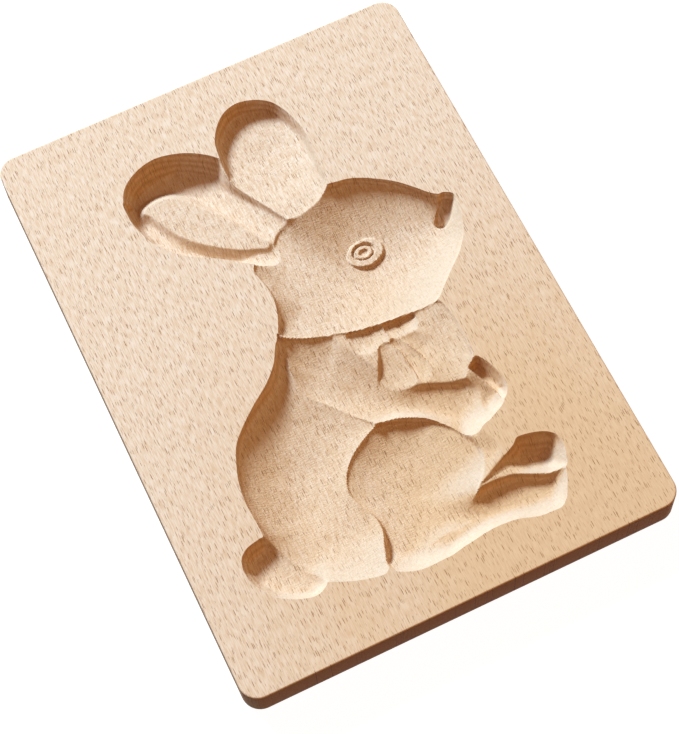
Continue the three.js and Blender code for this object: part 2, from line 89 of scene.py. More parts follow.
near_ear_channel = dict(
    rim=[
        (-31.6, 54.5, 0, 4), (-32, 51, 0, 3), (-31.8, 47.5, 0, 2.4), (-30.8, 44, 0, 2.2),
        (-29.5, 40.5, 0, 2.4), (-27.5, 37.5, 0, 3), (-25, 34.8, 0, 3.8), (-22, 32.3, 0, 4.6),
        (-18.5, 30.3, 0, 4.8), (-15, 28, 0, 4.8), (-10.6, 24.6, 0, 4.2), (-7.4, 22.8, 1.2, 3.2),
        (-4.4, 22.2, 2.4, 3), (-2, 22.6, 3, 3.2), (-1, 25, 3.6, 3.8), (-2.2, 29, 3.6),
        (-8, 32, 3.4), (-13, 35.5, 3.6), (-17, 39, 3.6), (-21, 43.5, 3.6), (-23.5, 47, 3.6),
        (-24.5, 51, 4), (-27, 54, 4.6),
    ],
    keel=[(-29, 50.5, 5.4), (-27.4, 45.4, 4.9), (-25.2, 40.8, 4.9), (-21.2, 36, 5.4),
          (-16.6, 31.9, 5.8), (-11.4, 27.8, 5.5), (-6.6, 25.8, 4.3)],
    wall=0, steep=3.8,
)
near_ear_leaf = dict(
    rim=[
        (-27.7, 51.1), (-27.2, 51.9), (-23.7, 52.8), (-20.1, 52.2), (-17.1, 50.1),
        (-12.6, 44.3), (-8.5, 38.7), (-5.5, 34.2), (-3.1, 30.4), (-2.3, 28.6), (-2.9, 27.6),
        (-5.5, 28.5), (-9.1, 30), (-13.1, 32.5), (-17.1, 35.6), (-20.6, 39), (-23.2, 42.8),
        (-25, 46.3), (-26.5, 49.6),
    ],
    top=3.4, slope=1,
)

# The head in profile, and the nose, which is the deepest pit
head = dict(
    rim=[
        (18, 35.7, 0, 1.3), (20, 35.4, 0, 1.3), (23, 34.9, 0, 1.3), (26.5, 33.5, 0, 1.4),
        (30, 31.4, 0, 1.4), (33, 29.3, 0, 1.5), (35.5, 27, 0, 1.6), (38, 24.3, 0, 1.7),
        (40, 22, 0, 1.8), (42, 20.4, 0, 1.9), (44, 19.8, 0, 2), (45.3, 19, 0, 1.2),
        (45.8, 17.5, 0, 0.5), (45.3, 16), (45, 14.5), (44.5, 12), (43.5, 9), (42.5, 7), (41, 5),
        (39.3, 3), (37, 1), (35, -0.7), (33, -2.5), (31.3, -4), (29.6, -5.6), (27.6, -6.4, 0.6),
        (23.4, -6, 1.9), (20.4, -5.6, 2.3), (15.4, -5.2, 2.4), (10.4, -4.6, 2.4),
        (5.3, -3.6, 2.4), (0.3, -2.4, 2.3), (-4.7, -0.6, 2.1), (-7.2, 0.3, 1.7), (-9.7, 1.4, 1),
        (-11.2, 2.8, 0.2, 1),
        (-10.4, 4.9, 0, 1.1), (-9.2, 8, 0, 0.8), (-8.4, 12, 0, 0.5), (-8.5, 15.5, 0, 0.3),
        (-9.1, 18.5), (-9.6, 20.8), (-9, 22.6, 0.1), (-6.8, 23.6, 0.9), (-4.6, 24.4, 2.2),
        (-2.6, 26, 3.4), (-0.8, 28.4, 3.8), (1, 30.2, 3.7), (3.4, 31.2, 2.8), (5.8, 31.7, 1.5),
        (8, 32.1, 1.2, 1.4), (11, 32.9, 1, 1.3), (14.5, 34.2, 0.6, 1.2),
    ],
    keel=[(-1, 9, 3.2), (5, 10.6, 4.6), (11, 12.6, 5.9), (18, 13, 6.9), (28, 13, 6.4),
          (36, 13.4, 4.8)],
    wall=0, steep=2.3, swell=2, blur=1,
)
nose = dict(
    rim=[
        (45.5, 18.9, 0, 1.6), (45.2, 17.4, 1), (43.8, 15.6, 2.4, 3), (42, 13.4, 3, 4.6),
        (40.2, 12.5, 3.2, 5.8), (38.4, 13.3, 3.3, 6.2), (38, 15, 3.3, 6), (39.4, 17, 3.2, 4.8),
        (41.2, 18.9, 2.2, 3.4), (43, 20.3, 0.4, 2.2),
    ],
    keel=[(43.2, 17.8, 3.6), (41.4, 16.2, 5.2), (39.8, 14.5, 7)],
    wall=0, steep=4, fillet=0.4, blur=0.3,
)

# The back, from the neck to the seat, and the tail behind it
body = dict(
    rim=[
        (-11.6, 3.2, 0, 1.2), (-12.6, 0.8, 0, 1.3), (-14, -1.4, 0, 1.3), (-16.4, -4.7, 0, 1.3),
        (-20.1, -8.4, 0, 1.2), (-25, -12, 0, 1.1), (-30, -16.3, 0, 1), (-33.2, -19.8, 0, 1),
        (-35.5, -25, 0, 1), (-36.9, -30, 0, 1), (-37.4, -34.5, 0, 1), (-37.2, -39, 0, 1),
        (-36.8, -43.8, 0.3, 1), (-36, -47, 1.8), (-34.9, -50, 2.6), (-33.7, -53.2, 2.8),
        (-31.8, -56.6, 2.6), (-29.6, -59.4, 1.4), (-27.2, -61.5), (-22.5, -63.7), (-18.5, -64.9),
        (-14.5, -65.4), (-12.9, -63, 0.6), (-12, -60, 1.8), (-11, -57.4, 2.8),
        (-10, -54.8, 3.6), (-9.7, -51.8, 4), (-10.6, -48.6, 4.3), (-12.4, -44.5, 4.5),
        (-12.9, -41.2, 4.5), (-11.6, -37.4, 4.5), (-8.6, -33.8, 4.4), (-4.2, -30.8, 4.2),
        (-0.4, -28.8, 4), (-3.2, -24.2, 4.2), (-5.7, -21, 4.3), (-8.2, -18, 4.3),
        (-10.6, -15, 4.2), (-12.4, -11, 3.7), (-12.6, -6, 2.8), (-11, -1, 1.6),
    ],
    keel=[(-15, -12, 4.4), (-17, -20, 5.6), (-21, -31, 6.5), (-24, -41, 6.2),
          (-23, -49, 5.4)],
    wall=0, steep=1.6, swell=2,
)
tail = dict(
    rim=[
        (-36.6, -44.3), (-40, -44.5), (-42, -45.1), (-44, -46.8), (-44.9, -49.8, 0, 3.2),
        (-44.7, -52, 0, 3.2), (-44, -54.5, 0, 3.1), (-42.5, -57, 0, 3), (-40.3, -59.6, 0, 2.9),
        (-36.4, -61.9, 0, 2.7), (-32.6, -63.1, 0, 2.5), (-30.1, -62.8, 0, 2),
        (-28, -60.9, 0.4, 1.4), (-28.6, -58.6, 1.8, 2.6), (-30.6, -55.6, 2.7, 3.3),
        (-32.6, -52.4, 2.8, 3.4), (-34, -49.3, 2.6, 3.4), (-35.1, -46.8, 1.8, 3.3),
    ],
    keel=[(-39.4, -51.5, 4.1), (-36, -56, 4), (-33, -58.8, 3.7)],
    wall=3.2, steep=1.6, level=1,
)

# The chest, and the bow on it: two loops and three tails, divided by folds
chest = dict(
    rim=[
        (0.3, -2.4, 2.3, 3), (5.3, -3.6, 2.4, 3), (10.4, -4.6, 2.4, 3),
        (15.4, -5.2, 2.4, 3), (20.4, -5.5, 2.3, 2.8), (23.4, -5.9, 1.9, 2.4),
        (27.6, -6.3, 0.6, 1), (28.9, -7, 0, 0.3), (29.8, -10, 0, 0.5), (30.2, -14, 0, 0.5),
        (30.2, -20, 0, 0.4), (29.4, -24.6, 0, 0.3), (26, -27.5, 1.5), (20, -30, 3),
        (10, -27, 3), (2, -20, 3), (-1, -10, 2.8),
    ],
    keel=[(8, -12, 3.2), (12, -18, 3.5), (21, -17, 3)],
    wall=0, steep=2.4, level=1,
)
bow_left = dict(
    rim=[
        (4, -3.6, 2.4, 3.6), (8.5, -4.4, 2.4, 3.7), (12.8, -5, 2.4, 3.7), (13.3, -7.5, 3.4, 3.6),
        (13, -10, 3), (10, -11.2, 2.8), (6.6, -11.2, 2.8), (4.7, -9.8, 2.7, 3.3),
        (4, -6.5, 2.6, 3.5),
    ],
    keel=[(6.4, -7.2, 4), (11, -7.4, 3.9)],
    wall=0, steep=3.4, fillet=0.3, blur=0.4,
)
bow_right = dict(
    rim=[
        (13.4, -5.2, 2.4, 3.9), (17.5, -5.4, 2.4, 3.9), (21.9, -5.8, 2.2, 3.7),
        (22.3, -7.5, 2.6, 3), (21.2, -9.8, 2.7), (18, -10.8, 2.8), (15.6, -11, 2.9),
        (13.7, -8.6, 3, 3.7),
    ],
    keel=[(16, -7.2, 4.2), (19.8, -7.4, 4)],
    wall=0, steep=3.4, fillet=0.3, blur=0.4,
)
bow_tail_left = dict(
    rim=[
        (10.3, -10.2, 3.3, 3.5), (12.8, -10.4, 3.4), (13.9, -13.4, 3.5), (14.6, -17.4, 3.5),
        (15, -20.6, 3.4), (13.4, -24.4, 3.4), (6, -25.4, 4.6), (4.9, -20.8, 4, 5),
        (7, -16.2, 3.3, 4.6), (8.7, -13, 3, 4.1),
    ],
    keel=[(10.7, -12.5, 4), (9.2, -16, 4.6), (7.8, -19.6, 4.9)],
    wall=0, steep=3.2, fillet=0.3, blur=0.4,
)
bow_tail_middle = dict(
    rim=[
        (13.2, -10.2, 3.3, 3.5), (15.6, -10, 3.2), (17, -13.2, 3.2), (18.3, -16.4, 3.2),
        (19.1, -19.2, 3.2), (18.6, -23, 3), (16, -24, 3.2), (15.1, -20.6, 3.4, 4.1),
        (14.9, -17.4, 3.4, 4.3), (14.2, -13.4, 3.2, 4.1),
    ],
    keel=[(15, -12.5, 4), (16.1, -16.5, 4.1), (16.6, -19, 3.9)],
    wall=0, steep=3.2, fillet=0.3, blur=0.4,
)
bow_tail_right = dict(
    rim=[
        (15.8, -9.8, 2.9, 3.4), (18.2, -9.6, 2.8), (21.4, -11.4, 2.6), (23.4, -15, 2.6),
        (23, -20, 2.6), (20.4, -22, 2.8), (19.3, -19.2, 3, 3.5), (18.4, -16.2, 3.1, 3.9),
        (17.1, -13.2, 3.1, 3.8),
    ],
    keel=[(17.8, -11.6, 3.6), (19.3, -15, 3.7), (20.2, -18, 3.4)],
    wall=0, steep=3.2, fillet=0.3, blur=0.4,
)

# The arm, the far paw and the near paw
arm = dict(
    rim=[
        (-12.4, 1.4, 0, 1.6), (-9.7, 1.4, 1, 1.9), (-4.7, -0.6, 2.1, 2.9), (0.3, -2.4, 2.3, 3.1),
        (2.4, -6, 2.6), (5.4, -12, 3), (8, -18, 3.4), (10.6, -21.8, 3.3, 3.5), (12.8, -23, 2.9, 4),
        (15.4, -23.8, 2.8, 4.2), (18.6, -25.2, 2.8, 4.2), (21.6, -26.7, 2.6, 4),
        (25.4, -28.2, 2, 3.4), (27, -32, 3), (27, -37, 2), (26.5, -40.6), (23.5, -41.7),
        (21, -42.6, 0.6), (18.6, -41.6, 1.8), (16.6, -38, 2.6), (15, -36, 2.7), (13, -33.7, 2.8),
        (11, -32.2, 2.8), (8.5, -30.9, 2.8), (5.7, -29.7, 2.9), (0.8, -28.3, 3.5),
        (-3.4, -24, 4.2), (-5.9, -20.9, 4.3), (-8.4, -17.9, 4.3), (-10.8, -15.2, 4.2),
        (-13, -12, 3.6), (-15, -8, 2.2), (-15, -4, 0.8),
    ],
    keel=[(-5, -12.5, 5.2), (-1, -18.5, 5.7), (7, -26.2, 5.8), (20, -34.2, 5.5)],
    wall=0, steep=2,
)
paw = dict(
    rim=[
        (26.9, -25.4, 0.2, 2.6), (28.4, -24.8, 0, 3.4), (30, -24.4, 0, 3.6), (31.6, -26.6, 0, 3.6),
        (32.8, -29.6, 0, 3.4), (33.5, -33.2, 0, 2.4), (32.9, -36, 0, 1.2), (31.4, -37.6, 0, 0.3),
        (31, -36.6, 1.8), (30.5, -34.4, 2.2, 3), (29.4, -32.2, 1.9, 3.4), (27.8, -28.4, 1.2, 3.6),
    ],
    keel=[(29.4, -28, 4.2), (31.4, -33, 3.6)],
    wall=0, steep=2.2, fillet=0.5, blur=0.4,
)
paw_near = dict(
    rim=[
        (25.2, -28.6, 1.4, 2), (25.8, -26.8, 0.6, 1.4), (27, -25.5, 0.2, 0.9),
        (28.2, -28, 1), (29.6, -31.6, 1.7), (30.6, -34.8, 2.1), (31.2, -37.4, 0.3), (30, -39),
        (28, -40), (26.2, -40.6), (25.4, -38, 2, 2.4), (25.8, -34, 3, 3.4), (25.6, -31, 2.6, 3),
    ],
    keel=[(26.2, -28.4, 1.9), (26.8, -31, 2.9), (27.8, -35, 3.6)],
    wall=0, steep=2, fillet=0.5, blur=0.4,
)

# The legs: the thigh, the belly in front of it and the two feet
thigh = dict(
    rim=[
        (1.2, -28.7, 3.2, 4.5), (3.4, -29, 3, 4.7), (5.7, -29.8, 2.9, 4.6), (8.5, -30.9, 2.8, 4.5),
        (11, -32.2, 2.8, 4.4), (13, -33.7, 2.8, 4.1), (15, -36, 2.7, 3.6), (16.5, -38, 2.6, 3.2),
        (17.8, -40.6, 2.4, 2.6), (19, -43.6, 2.2), (19.6, -47, 1.9), (18.6, -50.6, 1.5),
        (16.8, -53.4, 1.2), (14.8, -55.4, 1.4), (13.4, -57, 2.2), (13.4, -59.4, 3.2),
        (14, -62, 3.4), (13.4, -64.6, 2.2), (10.6, -66.6), (5, -67.5), (1.5, -68), (-3.5, -68.4),
        (-7.5, -68.1), (-10.5, -67), (-12.6, -65.6), (-13.3, -63, 0.6, 2),
        (-12.6, -60.2, 1.2, 5.4), (-11.6, -57.4, 2.4, 6.2), (-10.4, -54.8, 3.5, 5.9),
        (-10, -51.8, 4, 5.5), (-10.9, -48.6, 4.3, 5.3), (-12.7, -44.5, 4.5, 5.2),
        (-13.2, -41.2, 4.5, 5.1), (-11.9, -37.4, 4.5, 5.1), (-8.9, -33.8, 4.4, 5),
        (-4.5, -30.9, 4.2, 4.8), (-1.6, -29.4, 3.8, 4.5),
    ],
    keel=[(0.5, -41, 6.7), (0.5, -48, 6.7), (-3, -56, 6), (-6.5, -59.5, 5.6)],
    wall=0, steep=2.4, level=1, fillet=0.5,
)
belly = dict(
    rim=[
        (17.6, -40.4, 1.8), (20.2, -42.4, 0.5), (22.4, -44.2, 0.1), (24.2, -46.4),
        (24.8, -48.6), (23.4, -51), (19.5, -53.2, 0.2), (15, -54.6, 0.9), (13, -50, 2),
        (14, -44, 2),
    ],
    keel=[(15.5, -47, 2.4), (18.6, -47.4, 1)],
    wall=0, steep=0.7,
)
far_foot = dict(
    rim=[
        (14.6, -55.4, 0.6, 0.9), (17, -54.2, 0, 1), (19.5, -53, 0, 1), (22.5, -51.8, 0, 1.1),
        (25, -50.8, 0, 1.5), (27.5, -49.5, 0, 3), (29, -48.3, 0, 4.2), (32, -48.6, 0, 4.4),
        (34.5, -49.3, 0, 4.4), (36.5, -50.3, 0, 4.2), (38, -51.8, 0, 3.6), (38.5, -53.4, 0, 2.8),
        (38.3, -55.6, 0, 1.8), (37.6, -57.8, 0, 1.2), (36.6, -59.6, 0.3, 0.8), (33, -60, 1.1),
        (29.5, -58.4, 1.2), (25, -56.8, 0.9), (19, -56, 0.8),
    ],
    keel=[(19, -54.5, 1.1), (24.5, -53.5, 1.6), (28.5, -53, 4), (33, -53.2, 5.5)],
    wall=0, steep=1.35,
)
near_foot = dict(
    rim=[
        (-1.5, -63, 4.1), (2, -61.8, 4.1, 4.4), (5.4, -61, 3.6, 4.2), (8.4, -59.6, 2.8, 3.9),
        (10.8, -58, 2, 3.4), (13.2, -56.4, 1.3, 3.1), (16.2, -55.5, 1, 3), (20.2, -55.5, 1, 3),
        (24.2, -56, 1, 3.2), (27.3, -57.3, 1.1, 3.4), (31.3, -59.1, 1.1, 3.2),
        (35.8, -60, 0, 0.6), (35.4, -62.4, 0, 0.6), (34.2, -64.8, 0, 0.6), (32.6, -67.4),
        (30.5, -69), (28, -69), (25, -68.8), (22.5, -68.1), (20, -67.2), (15, -66.6),
        (10, -66.8), (5, -67.5), (0, -68.2), (-1.8, -66.6, 1.8), (-2.4, -64.8, 3.3),
    ],
    keel=[(5, -63.4, 4.6), (14, -62, 4.2), (25, -62.8, 4), (30.5, -63.4, 3.8)],
    wall=0, steep=2.2,
)


def smooth_ring(form, spacing=0.6):
    """The rim of a form as one smooth closed curve in short steps, with its two depths."""
    drawn = []
    for x, y, *depths in form["rim"]:
        lip = depths[0] if depths else 0
        foot = depths[1] if len(depths) > 1 else max(lip, form.get("wall", 0))
        drawn.append((x, y, lip, foot))
    drawn = np.array(drawn, float)
    count = len(drawn)
    pieces = []
    for i in range(count):
        before, start, end, after = (drawn[(i + k) % count] for k in (-1, 0, 1, 2))
        # A span weighs the root of its length, so that close points make no loop
        t0, t1, t2 = (
            max(np.linalg.norm(b[:2] - a[:2]) ** 0.5, 1e-4)
            for a, b in ((before, start), (start, end), (end, after)))
        leave = ((start - before) / t0 - (end - before) / (t0 + t1) + (end - start) / t1) * t1
        arrive = ((end - start) / t1 - (after - start) / (t1 + t2) + (after - end) / t2) * t1
        steps = max(2, math.ceil(np.linalg.norm(end[:2] - start[:2]) / spacing))
        u = (np.arange(steps) / steps)[:, None]
        pieces.append(
            start + leave * u + (3 * (end - start) - 2 * leave - arrive) * u ** 2
            + (2 * (start - end) + leave + arrive) * u ** 3)
    ring = np.concatenate(pieces)
    ring[:, 2] = np.maximum(ring[:, 2], 0)
    ring[:, 3] = np.maximum(ring[:, 3], ring[:, 2])
    return ring


def nearest_on_line(line, places):
    """For each place, the nearest point of an open line with its depth, and its distance."""
    line = np.array(line, float)
    nearest = np.zeros((len(places), 3))
    shortest = np.full(len(places), np.inf)
    for a, b in zip(line, line[1:]) if len(line) > 1 else [(line[0], line[0])]:
        along = b[:2] - a[:2]
        span = max(along @ along, 1e-9)
        t = np.clip((places - a[:2]) @ along / span, 0, 1)
        foot = a + t[:, None] * (b - a)
        distance = np.hypot(*(foot[:, :2] - places).T)
        closer = distance < shortest
        shortest[closer] = distance[closer]
        nearest[closer] = foot[closer]
    return nearest, shortest


# Places are worked through in lots, because all at once they would take too much memory
lot = 6000
out_of_reach = 1e9


def reach_to_ring(ring, start, ahead):
    """How far each ray goes from its start to the ring, and the rim's two depths there."""
    step = np.roll(ring, -1, 0) - ring
    reach = np.empty(len(start))
    depths = np.empty((len(start), 2))
    for s in range(0, len(start), lot):
        o, d = start[s:s + lot], ahead[s:s + lot]
        cross = d[:, :1] * step[:, 1] - d[:, 1:] * step[:, 0]
        cross = np.where(np.abs(cross) < 1e-12, 1e-12, cross)
        x, y = ring[:, 0] - o[:, :1], ring[:, 1] - o[:, 1:]
        t = (x * step[:, 1] - y * step[:, 0]) / cross
        u = (x * d[:, 1:] - y * d[:, :1]) / cross
        t = np.where((t > 0) & (u >= -1e-9) & (u <= 1 + 1e-9), t, out_of_reach)
        k = t.argmin(1)
        ray = np.arange(len(k))
        reach[s:s + lot] = t[ray, k]
        share = np.clip(u[ray, k], 0, 1)[:, None]
        depths[s:s + lot] = ring[k, 2:] + step[k, 2:] * share
    return reach, depths[:, 0], depths[:, 1]


def soften(values, radius):
    """The grid blurred over a radius in grid steps."""
    reach = math.ceil(radius * 3)
    weights = np.exp(-0.5 * (np.arange(-reach, reach + 1) / radius) ** 2)
    weights /= weights.sum()
    for axis in (0, 1):
        size = values.shape[axis]
        border = [(reach, reach) if a == axis else (0, 0) for a in (0, 1)]
        wide = np.pad(values, border, "edge")
        values = sum(
            w * np.take(wide, np.arange(k, k + size), axis) for k, w in enumerate(weights))
    return values


# The figure's grid, fine enough for the bow's folds. Depths are below the board's top face,
# and what lies past a dish's own window is above the face.
grid_step = 0.3
grid_x = np.arange(-47, 48, grid_step)
grid_y = np.arange(-71, 71, grid_step)
across, along = np.meshgrid(grid_x, grid_y)
window_margin = 3
above_face = -5.0
far_outside = -99.0
least_slope_share = 0.4


def lower_of(one, other, fillet):
    """The shallower of two depths, with a round fillet where they cross."""
    return 0.5 * (one + other - np.sqrt((one - other) ** 2 + fillet ** 2))


def dish(form):
    """The depth of one hollow over the grid; outside the rim its wall goes on upwards."""
    ring = smooth_ring(form)
    low, high = ring[:, :2].min(0) - window_margin, ring[:, :2].max(0) + window_margin
    rows = np.flatnonzero((grid_y > low[1]) & (grid_y < high[1]))
    columns = np.flatnonzero((grid_x > low[0]) & (grid_x < high[0]))
    window = np.ix_(rows, columns)
    shape = (len(rows), len(columns))
    places = np.stack([across[window].ravel(), along[window].ravel()], 1)

    # A ray runs from the nearest point of the keel through each place to the rim
    keel, away = nearest_on_line(form["keel"], places)
    ahead = (places - keel[:, :2]) / np.maximum(away, 1e-6)[:, None]
    ahead[away < 1e-6] = (1, 0)
    gap, lip, foot = reach_to_ring(ring, keel[:, :2], ahead)
    inwards = gap - away

    # The floor rises from the keel to the wall's foot, and the wall from there to the rim
    slope_length = np.maximum(gap - form.get("level", 0), gap * least_slope_share)
    share = np.clip(inwards / slope_length, 0, 1)
    floor = foot + (keel[:, 2] - foot) * (1 - (1 - share) ** form.get("swell", 2))
    floor = soften(floor.reshape(shape), form.get("blur", 0.7) / grid_step).ravel()
    fillet = form.get("fillet", 0.8)
    depth = lower_of(lip + inwards * form["steep"], floor, fillet)
    depth += (lip - lower_of(lip, foot, fillet)) * (1 - share) ** 2
    whole = np.full(across.shape, above_face)
    whole[window] = np.where(gap < out_of_reach, depth, above_face).reshape(shape)
    return whole


def distance_inside(ring):
    """How far each grid place lies inside the ring, below 0 outside it."""
    places = np.stack([across.ravel(), along.ravel()], 1)
    reach = np.ptp(ring[:, :2], 0).max()
    near = np.flatnonzero((np.abs(places - ring[:, :2].mean(0)) < reach).all(1))
    result = np.full(len(places), far_outside)
    start, step = ring[:, :2], (np.roll(ring, -1, 0) - ring)[:, :2]
    for s in range(0, len(near), lot):
        pick = near[s:s + lot]
        x = places[pick, 0, None] - start[:, 0]
        y = places[pick, 1, None] - start[:, 1]
        t = np.clip((x * step[:, 0] + y * step[:, 1]) / (step ** 2).sum(1), 0, 1)
        away = np.sqrt(((x - t * step[:, 0]) ** 2 + (y - t * step[:, 1]) ** 2).min(1))
        crosses = (y >= 0) != (y - step[:, 1] >= 0)
        rise = np.where(step[:, 1] == 0, 1e-9, step[:, 1])
        left = crosses & (x < y / rise * step[:, 0])
        result[pick] = np.where(left.sum(1) % 2 == 1, away, -away)
    return result.reshape(across.shape)


def mound_over(depth, form, soft):
    """The grid with a mound left standing in it: flat on top, with sides that run down."""
    inside = distance_inside(smooth_ring(form))
    side = form["top"] + np.maximum(-inside, 0) / form["slope"]
    gap = depth - side
    return depth - 0.5 * (gap + np.sqrt(gap ** 2 + soft ** 2)) + soft / 2


def join(one, other, soft):
    """Both cuts together: the deeper one counts, and the crest between them is rounded."""
    gap = one - other
    return 0.5 * (one + other + np.sqrt(gap ** 2 + soft ** 2)) - soft ** 2 / 4


def oval(centre, radii, turn, *depths, points=16):
    """An oval outline, with the depths of its rim."""
    outline = []
    for k in range(points):
        a = k / points * math.tau
        x, y = radii[0] * math.cos(a), radii[1] * math.sin(a)
        outline.append((
            centre[0] + x * math.cos(turn) - y * math.sin(turn),
            centre[1] + x * math.sin(turn) + y * math.cos(turn), *depths))
    return outline


near_ear = join(dish(near_ear_groove), dish(near_ear_channel), 0.4)
near_ear = mound_over(near_ear, near_ear_leaf, 0.4)

# The eye: a lid that stands up round a pit, and in the pit a bead with a dimple
eye_lid = dict(rim=oval((19.1, 16.3), (4.9, 3.6), 0.1), top=5.8, slope=0.4)
eye_pit = dict(
    rim=oval((18.8, 16.8), (3.5, 2.8), 0, 5.2, 6.7), keel=[(18.8, 16.8, 6.9)],
    steep=2.6, fillet=0.3, blur=0.3)
eye_bead = dict(rim=oval((18.7, 16.5), (2.3, 1.8), 0), top=5.8, slope=0.4)
eye_dimple = dict(
    rim=oval((18.7, 16.4), (1.5, 1.2), 0, 5.6, 6.4), keel=[(18.7, 16.4, 6.5)],
    steep=2.6, fillet=0.3, blur=0.3)
face = mound_over(dish(head), eye_lid, 0.2)
face = np.maximum(face, dish(eye_pit))
face = mound_over(face, eye_bead, 0.15)
face = np.maximum(face, dish(eye_dimple))

head_and_ear = join(near_ear, face, 0.1)
# The thigh runs softly into the near foot
leg = join(dish(thigh), dish(near_foot), 0.6)

# Each cut, and how softly its crest against the others is rounded
carving = dish(far_ear)
for cut, soft in (
        (head_and_ear, 0.15), (dish(nose), 0.3), (dish(body), 0.3), (dish(tail), 0.2),
        (dish(chest), 0.2), (dish(bow_left), 0.15), (dish(bow_right), 0.15),
        (dish(bow_tail_left), 0.15), (dish(bow_tail_middle), 0.15),
        (dish(bow_tail_right), 0.15), (dish(arm), 0.3), (dish(paw), 0.2), (dish(paw_near), 0.2),
        (leg, 0.2), (dish(belly), 0.3), (dish(far_foot), 0.3)):
    carving = join(carving, cut, soft)

# The outside of the board, which is the frame's own board, with its corners and edges. The
# flat face ends a little inside the eased edges.
board_low, board_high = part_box("mould_board")
half_width = board_high.x * 1000
half_length = board_high.y * 1000
thickness = (board_high.z - board_low.z) * 1000
corner_radius = 4.8
edge_round = 0.35
flat_inset = edge_round + 0.3
round_steps = 6
corner_steps = 12


def board_ring(inset):
    """The board's outline drawn in by an inset, from the right-hand side anticlockwise."""
    radius = corner_radius - inset
    ring = []
    for k, (sx, sy) in enumerate(((1, 1), (-1, 1), (-1, -1), (1, -1))):
        cx, cy = sx * (half_width - corner_radius), sy * (half_length - corner_radius)
        for i in range(corner_steps + 1):
            a = (k + i / corner_steps) * math.pi / 2
            ring.append((cx + radius * math.cos(a), cy + radius * math.sin(a)))
    return ring


# The cut's edge is crisp, so the grid's points nearest to it are moved onto it. Where one of
# two neighbours is in the cut, the edge is between them, at a share of the step from the
# first one, and the nearer neighbour moves there.
place_x, place_y = across.copy(), along.copy()
nearest_move = np.full(carving.shape, np.inf)
no_move = 9
for axis in (1, 0):
    first = (slice(None), slice(None, -1)) if axis else (slice(None, -1), slice(None))
    second = (slice(None), slice(1, None)) if axis else (slice(1, None), slice(None))
    a, b = carving[first], carving[second]
    crosses = (a > 0) != (b > 0)
    edge_at = np.where(crosses, a / np.where(crosses, a - b, 1), no_move)
    first_moves = np.where(edge_at < 0.5, edge_at, no_move)
    second_moves = np.where((edge_at >= 0.5) & crosses, edge_at - 1, no_move)
    for side, move in ((first, first_moves), (second, second_moves)):
        take = np.abs(move) < np.minimum(nearest_move[side], 1)
        nearest_move[side] = np.where(take, np.abs(move), nearest_move[side])
        shift = move * grid_step
        place_x[side] = np.where(take, across[side] + (shift if axis else 0), place_x[side])
        place_y[side] = np.where(take, along[side] + (0 if axis else shift), place_y[side])
on_rim = nearest_move < 1
depth = np.where(on_rim | (carving < 0), 0, carving)

# The cells that the cut touches, and some rows round them, so that the flat stays flat
rows_round_cut = 3
touched = depth > 0
for _ in range(rows_round_cut):
    wide = np.pad(touched, 1)
    touched = sum(
        wide[i:i + touched.shape[0], j:j + touched.shape[1]]
        for i in (0, 1, 2) for j in (0, 1, 2)) > 0
cells = touched[:-1, :-1] & touched[1:, :-1] & touched[:-1, 1:] & touched[1:, 1:]
used = np.zeros(depth.shape, bool)
for i in (0, 1):
    for j in (0, 1):
        used[i:i + cells.shape[0], j:j + cells.shape[1]] |= cells
number = np.full(depth.shape, -1)
number[used] = np.arange(used.sum())
points = np.stack([place_x[used], place_y[used], thickness - depth[used]], 1).tolist()
row, column = np.nonzero(cells)


def at_corners(values):
    """The grid's values at the four corners of each cell, anticlockwise."""
    return np.stack([
        values[row, column], values[row, column + 1],
        values[row + 1, column + 1], values[row + 1, column]])


# A cell is split along its flatter diagonal, or along the cut's edge where that crosses it
drop = at_corners(depth)
rim_corner = at_corners(on_rim)
rising = np.abs(drop[0] - drop[2]) <= np.abs(drop[1] - drop[3])
rising = np.where(rim_corner[1] & rim_corner[3], False, rising)
rising = np.where(rim_corner[0] & rim_corner[2], True, rising)
corners = at_corners(number).T
faces = np.concatenate([
    corners[rising][:, [0, 1, 2]], corners[rising][:, [0, 2, 3]],
    corners[~rising][:, [0, 1, 3]], corners[~rising][:, [1, 2, 3]]]).tolist()

# The flat face between the cut and the board's edge, filled with triangles
wide = np.pad(cells, 1)
flat_edges = []
for j, i in zip(*np.nonzero(wide[1:, 1:-1] != wide[:-1, 1:-1])):
    flat_edges.append((int(number[j, i]), int(number[j, i + 1])))
for j, i in zip(*np.nonzero(wide[1:-1, 1:] != wide[1:-1, :-1])):
    flat_edges.append((int(number[j, i]), int(number[j + 1, i])))
border = sorted({n for edge in flat_edges for n in edge})
border_index = {n: k for k, n in enumerate(border)}
flat_ring = board_ring(flat_inset)
ring_start = len(border)
ring_count = len(flat_ring)
flat_points = [Vector(points[n][:2]) for n in border] + [Vector(p) for p in flat_ring]
constraints = [(border_index[a], border_index[b]) for a, b in flat_edges]
constraints += [(ring_start + k, ring_start + (k + 1) % ring_count) for k in range(ring_count)]
inside_only = 1
flat = delaunay_2d_cdt(flat_points, constraints, [], inside_only, 1e-5)
flat_places, _, flat_triangles, came_from = flat[:4]
first_ring = len(points)
points += [(x, y, thickness) for x, y in flat_ring]
own_number = border + list(range(first_ring, first_ring + ring_count))
for triangle in flat_triangles:
    middle = sum((flat_places[v] for v in triangle), Vector((0, 0))) / 3
    i = math.floor((middle.x - grid_x[0]) / grid_step)
    j = math.floor((middle.y - grid_y[0]) / grid_step)
    in_grid = 0 <= i < cells.shape[1] and 0 <= j < cells.shape[0]
    if not (in_grid and cells[j, i]):
        faces.append([own_number[came_from[v][0]] for v in triangle])

